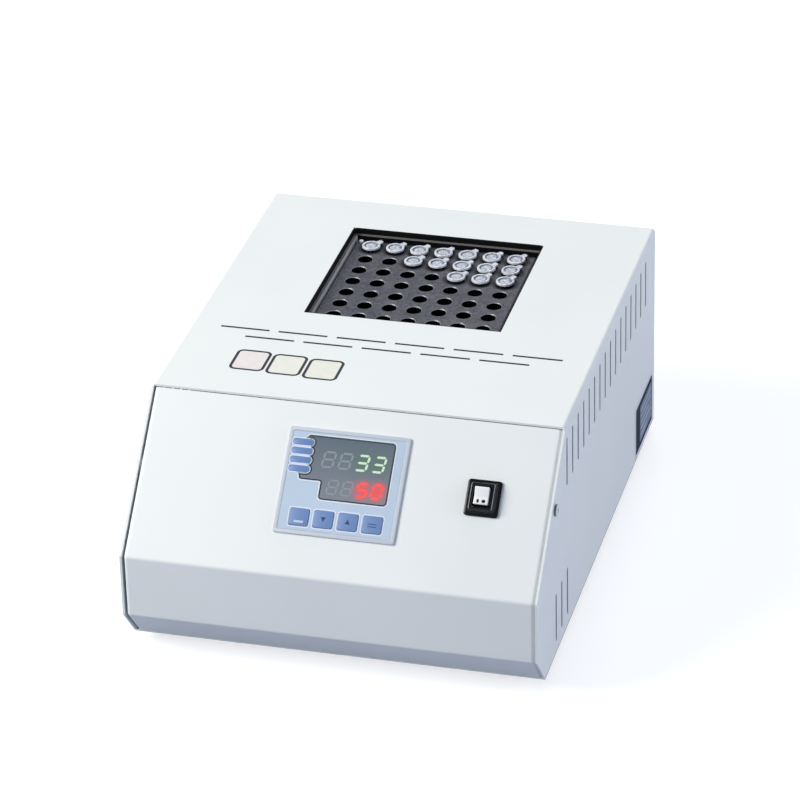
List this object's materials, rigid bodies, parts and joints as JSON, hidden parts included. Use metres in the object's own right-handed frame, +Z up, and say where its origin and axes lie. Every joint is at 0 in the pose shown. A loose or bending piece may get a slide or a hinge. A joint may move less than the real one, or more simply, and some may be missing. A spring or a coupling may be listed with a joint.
{
  "type": "dry block heater",
  "caption": "Bench dry block heater: folded sloping case with controller and power switch, and a drilled block that holds closed microtubes.",
  "frame": {"origin": "middle of the unit on the bench, under its feet", "axes": "+Z up, -Y the front with the sloping control panel, +X the right side as seen from the front"},
  "size_m": [0.2844, 0.3796, 0.1615],
  "materials": {
    "cover_paint": "smooth powder coat, near white",
    "rear_paint": "smooth powder coat",
    "bare_steel": "zinc-plated sheet",
    "screw_steel": "plated",
    "black_sheet": "satin black",
    "anodised": "dark anodised",
    "plain_aluminium": "machined",
    "element": "flat silicone heater",
    "wool": "mineral wool",
    "tube_plastic": "translucent polypropylene",
    "face_plastic": "moulded, pale blue-grey",
    "window_plastic": "smoked",
    "lamp_plastic": "blue lenses",
    "key_plastic": "blue",
    "black_plastic": "moulded",
    "case_plastic": "moulded",
    "rocker_plastic": "white",
    "board": "glass-fibre board",
    "contact_metal": "plated",
    "foot_rubber": "matt"
  },
  "bodies": {
    "case": {"top_cover": "cover_paint", "front_panel": "cover_paint", "base_plate": "bare_steel", "rear_panel": "rear_paint", "rubber_feet": "foot_rubber", "side_screws": "screw_steel", "well_frame": "black_sheet", "heater_plate": "plain_aluminium", "heating_element": "element", "insulation_board": "wool", "side_insulation": "wool", "carrier_plate": "bare_steel", "pillars": "bare_steel", "temperature_probe": "bare_steel", "overheat_thermostat": "case_plastic", "controller_face": "face_plastic", "display_window": "window_plastic", "indicator_lamps": "lamp_plastic", "circuit_board": "board", "controller_housing": "case_plastic", "controller_clamp": "case_plastic", "switch_housing": "black_plastic", "switch_terminals": "contact_metal", "power_inlet": "black_plastic", "inlet_blades": "contact_metal", "solid_state_relay": "case_plastic", "terminal_strip": "case_plastic"},
    "block": {"heating_block": "anodised", "block_screw": "screw_steel"},
    "rocker": {"switch_rocker": "rocker_plastic"},
    "key_1": {"key_1": "key_plastic"},
    "key_2": {"key_2": "key_plastic"},
    "key_3": {"key_3": "key_plastic"},
    "key_4": {"key_4": "key_plastic"},
    "microtube_a1": {"microtube_a1": "tube_plastic"},
    "microtube_a2": {"microtube_a2": "tube_plastic"},
    "microtube_a3": {"microtube_a3": "tube_plastic"},
    "microtube_a4": {"microtube_a4": "tube_plastic"},
    "microtube_a5": {"microtube_a5": "tube_plastic"},
    "microtube_a6": {"microtube_a6": "tube_plastic"},
    "microtube_a7": {"microtube_a7": "tube_plastic"},
    "microtube_b3": {"microtube_b3": "tube_plastic"},
    "microtube_b4": {"microtube_b4": "tube_plastic"},
    "microtube_b5": {"microtube_b5": "tube_plastic"},
    "microtube_b6": {"microtube_b6": "tube_plastic"},
    "microtube_b7": {"microtube_b7": "tube_plastic"},
    "microtube_c5": {"microtube_c5": "tube_plastic"},
    "microtube_c6": {"microtube_c6": "tube_plastic"},
    "microtube_c7": {"microtube_c7": "tube_plastic"}
  },
  "joints": [
    {"name": "block_lift", "type": "slide", "parent": "case", "child": "block", "axis": [0, 0, 1], "range_m": [0, 0.06]},
    {"name": "rocker_tilt", "type": "hinge", "parent": "case", "child": "rocker", "pos_m": [0.094, -0.14458, 0.12653], "axis": [1, 0, 0], "range_deg": [-14, 0]},
    {"name": "key_1_press", "type": "slide", "parent": "case", "child": "key_1", "axis": [0, 0.6965, -0.7175], "range_m": [0, 0.0008], "stiffness_N_per_m": 800, "springref_m": -0.0006},
    {"name": "key_2_press", "type": "slide", "parent": "case", "child": "key_2", "axis": [0, 0.6965, -0.7175], "range_m": [0, 0.0008], "stiffness_N_per_m": 800, "springref_m": -0.0006},
    {"name": "key_3_press", "type": "slide", "parent": "case", "child": "key_3", "axis": [0, 0.6965, -0.7175], "range_m": [0, 0.0008], "stiffness_N_per_m": 800, "springref_m": -0.0006},
    {"name": "key_4_press", "type": "slide", "parent": "case", "child": "key_4", "axis": [0, 0.6965, -0.7175], "range_m": [0, 0.0008], "stiffness_N_per_m": 800, "springref_m": -0.0006},
    {"name": "tube_a1_lift", "type": "slide", "parent": "block", "child": "microtube_a1", "axis": [0, 0, 1], "range_m": [0, 0.045]},
    {"name": "tube_a2_lift", "type": "slide", "parent": "block", "child": "microtube_a2", "axis": [0, 0, 1], "range_m": [0, 0.045]},
    {"name": "tube_a3_lift", "type": "slide", "parent": "block", "child": "microtube_a3", "axis": [0, 0, 1], "range_m": [0, 0.045]},
    {"name": "tube_a4_lift", "type": "slide", "parent": "block", "child": "microtube_a4", "axis": [0, 0, 1], "range_m": [0, 0.045]},
    {"name": "tube_a5_lift", "type": "slide", "parent": "block", "child": "microtube_a5", "axis": [0, 0, 1], "range_m": [0, 0.045]},
    {"name": "tube_a6_lift", "type": "slide", "parent": "block", "child": "microtube_a6", "axis": [0, 0, 1], "range_m": [0, 0.045]},
    {"name": "tube_a7_lift", "type": "slide", "parent": "block", "child": "microtube_a7", "axis": [0, 0, 1], "range_m": [0, 0.045]},
    {"name": "tube_b3_lift", "type": "slide", "parent": "block", "child": "microtube_b3", "axis": [0, 0, 1], "range_m": [0, 0.045]},
    {"name": "tube_b4_lift", "type": "slide", "parent": "block", "child": "microtube_b4", "axis": [0, 0, 1], "range_m": [0, 0.045]},
    {"name": "tube_b5_lift", "type": "slide", "parent": "block", "child": "microtube_b5", "axis": [0, 0, 1], "range_m": [0, 0.045]},
    {"name": "tube_b6_lift", "type": "slide", "parent": "block", "child": "microtube_b6", "axis": [0, 0, 1], "range_m": [0, 0.045]},
    {"name": "tube_b7_lift", "type": "slide", "parent": "block", "child": "microtube_b7", "axis": [0, 0, 1], "range_m": [0, 0.045]},
    {"name": "tube_c5_lift", "type": "slide", "parent": "block", "child": "microtube_c5", "axis": [0, 0, 1], "range_m": [0, 0.045]},
    {"name": "tube_c6_lift", "type": "slide", "parent": "block", "child": "microtube_c6", "axis": [0, 0, 1], "range_m": [0, 0.045]},
    {"name": "tube_c7_lift", "type": "slide", "parent": "block", "child": "microtube_c7", "axis": [0, 0, 1], "range_m": [0, 0.045]}
  ]
}
